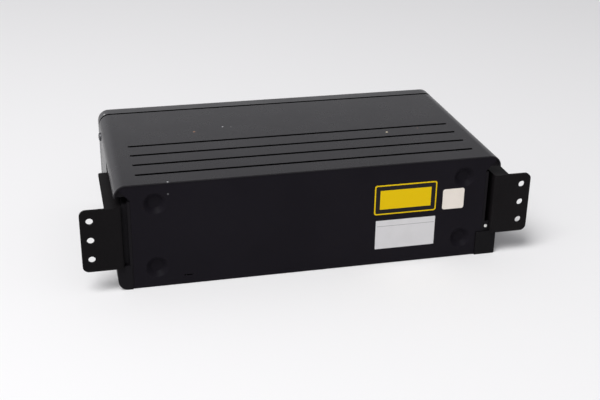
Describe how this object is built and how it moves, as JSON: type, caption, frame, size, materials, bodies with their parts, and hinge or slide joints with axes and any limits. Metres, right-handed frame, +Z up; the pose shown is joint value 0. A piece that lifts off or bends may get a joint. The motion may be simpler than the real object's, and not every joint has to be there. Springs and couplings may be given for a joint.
{
  "type": "car cd changer",
  "caption": "Flat sheet-metal CD changer for a car boot, with mounting brackets, a sliding disc magazine, a lift with a tray puller, and a spindle with a pickup.",
  "frame": {"origin": "middle of the underside of the whole object, mounting brackets included", "axes": "+X along the rear face towards the side with the socket, +Y from the rear plate to the magazine mouth, +Z up"},
  "size_m": [0.3624, 0.1772, 0.088],
  "materials": {
    "cover_paint": "fine textured dark grey paint",
    "dark_plate": "smooth dark paint",
    "bracket_paint": "black paint, slightly rough",
    "zinc_sheet": "zinc plated sheet",
    "frame_plastic": "moulded, matt",
    "bezel_plastic": "moulded, fine grain",
    "black_plastic": "moulded, matt",
    "button_plastic": "moulded, satin",
    "magazine_plastic": "moulded, fine grain",
    "tray_plastic": "moulded, satin",
    "gear_plastic": "moulded, natural white",
    "board_green": "green solder mask",
    "screw_steel": "dark zinc plated",
    "motor_steel": "plated can",
    "rod_steel": "ground rod",
    "brass_contact": "plain",
    "damper_rubber": "soft, matt",
    "lens_glass": "clear"
  },
  "bodies": {
    "casing": {"top_cover": "cover_paint", "bottom_plate": "zinc_sheet", "rear_plate": "dark_plate", "left_side_frame": "frame_plastic", "right_side_frame": "frame_plastic", "corner_cap": "frame_plastic", "front_bezel": "bezel_plastic", "left_mounting_bracket": "bracket_paint", "right_mounting_bracket": "bracket_paint", "bracket_screws": "screw_steel", "cover_screws": "screw_steel", "bus_socket": "black_plastic", "socket_contacts": "brass_contact", "control_board": "board_green", "board_posts": "black_plastic", "eject_switch": "black_plastic", "mechanism_chassis": "zinc_sheet", "rod_bridge": "zinc_sheet", "guide_rods": "rod_steel", "rear_dampers": "damper_rubber", "front_dampers": "damper_rubber", "magazine_rails": "black_plastic", "lift_motor": "motor_steel", "board_shelf": "zinc_sheet", "main_board": "board_green", "board_components": "black_plastic"},
    "button": {"eject_button": "button_plastic"},
    "magazine": {"magazine_case": "magazine_plastic", "magazine_lid": "magazine_plastic", "magazine_face": "magazine_plastic", "disc_tray_02": "tray_plastic", "disc_tray_03": "tray_plastic", "disc_tray_04": "tray_plastic", "disc_tray_05": "tray_plastic", "disc_tray_06": "tray_plastic", "disc_tray_07": "tray_plastic", "disc_tray_08": "tray_plastic", "disc_tray_09": "tray_plastic", "disc_tray_10": "tray_plastic"},
    "tray": {"disc_tray_01": "tray_plastic"},
    "cam": {"lift_cam": "zinc_sheet"},
    "lift_gear_body": {"lift_gear": "gear_plastic"},
    "lift_pinion_body": {"lift_motor_pinion": "brass_contact"},
    "deck": {"lift_deck": "zinc_sheet", "hinge_pin": "rod_steel"},
    "puller": {"tray_puller": "gear_plastic"},
    "arm": {"clamp_arm": "zinc_sheet"},
    "puck": {"clamp_puck": "gear_plastic"},
    "traverse": {"traverse_plate": "zinc_sheet", "spindle_motor": "motor_steel", "sled_rods": "rod_steel", "rod_clips": "black_plastic", "sled_gear_axle": "rod_steel", "sled_motor": "motor_steel"},
    "table": {"turntable": "black_plastic"},
    "sled": {"pickup_sled": "black_plastic"},
    "lens_body": {"lens_holder": "black_plastic", "lens": "lens_glass"},
    "sled_gear_body": {"sled_gear": "gear_plastic"},
    "sled_pinion_body": {"sled_motor_pinion": "brass_contact"}
  },
  "joints": [
    {"name": "button_press", "type": "slide", "parent": "casing", "child": "button", "axis": [0, -1, 0], "range_m": [0, 0.0012], "stiffness_N_per_m": 1200},
    {"name": "magazine_slide", "type": "slide", "parent": "casing", "child": "magazine", "axis": [0, -1, 0], "range_m": [-0.13, 0]},
    {"name": "tray_slide", "type": "slide", "parent": "magazine", "child": "tray", "axis": [-1, 0, 0], "range_m": [0, 0.1365]},
    {"name": "puller_slide", "type": "slide", "parent": "deck", "child": "puller", "axis": [-1, 0, 0], "range_m": [0, 0.1365]},
    {"name": "deck_lift", "type": "slide", "parent": "casing", "child": "deck", "axis": [0, 0, 1], "range_m": [-0.0486, 0]},
    {"name": "cam_slide", "type": "slide", "parent": "casing", "child": "cam", "axis": [1, 0, 0], "range_m": [0, 0.04402]},
    {"name": "lift_gear_turn", "type": "hinge", "parent": "casing", "child": "lift_gear_body", "pos_m": [-0.02, -0.0645, 0.0694], "axis": [0, 1, 0], "range_deg": [-394.01, 0]},
    {"name": "lift_motor_turn", "type": "hinge", "parent": "casing", "child": "lift_pinion_body", "pos_m": [-0.0085, -0.0645, 0.0694], "axis": [0, 1, 0], "range_deg": [0, 1418.17]},
    {"name": "traverse_lift", "type": "slide", "parent": "deck", "child": "traverse", "axis": [0, 0, 1], "range_m": [0, 0.005]},
    {"name": "clamp_swing", "type": "hinge", "parent": "deck", "child": "arm", "pos_m": [-0.071, -0.0494, 0.0754], "axis": [-1, 0, 0], "range_deg": [0, 5]},
    {"name": "puck_turn", "type": "hinge", "parent": "arm", "child": "puck", "pos_m": [-0.071, 0.01671, 0.07586], "axis": [0, -0.0872, 0.9962], "continuous": true},
    {"name": "disc_spin", "type": "hinge", "parent": "traverse", "child": "table", "pos_m": [-0.071, 0.0165, 0.062], "axis": [0, 0, 1], "continuous": true},
    {"name": "sled_slide", "type": "slide", "parent": "traverse", "child": "sled", "axis": [0, -1, 0], "range_m": [0, 0.033]},
    {"name": "lens_focus", "type": "slide", "parent": "sled", "child": "lens_body", "axis": [0, 0, 1], "range_m": [-0.0004, 0.0004], "stiffness_N_per_m": 40},
    {"name": "sled_gear_turn", "type": "hinge", "parent": "traverse", "child": "sled_gear_body", "pos_m": [-0.039, -0.008, 0.0588], "axis": [0, 0, 1], "range_deg": [0, 270.21]},
    {"name": "sled_motor_turn", "type": "hinge", "parent": "traverse", "child": "sled_pinion_body", "pos_m": [-0.039, 0.0015, 0.0588], "axis": [0, 0, 1], "range_deg": [-756.4, 0]}
  ],
  "couplings": [
    {"joint": "puller_slide", "follows": "tray_slide", "ratio": 1},
    {"joint": "cam_slide", "follows": "deck_lift", "ratio": -0.90535},
    {"joint": "lift_gear_turn", "follows": "deck_lift", "rad_per_m": 141.46},
    {"joint": "lift_motor_turn", "follows": "deck_lift", "rad_per_m": -509.26},
    {"joint": "sled_gear_turn", "follows": "sled_slide", "rad_per_m": 142.86},
    {"joint": "sled_motor_turn", "follows": "sled_slide", "rad_per_m": -400}
  ]
}
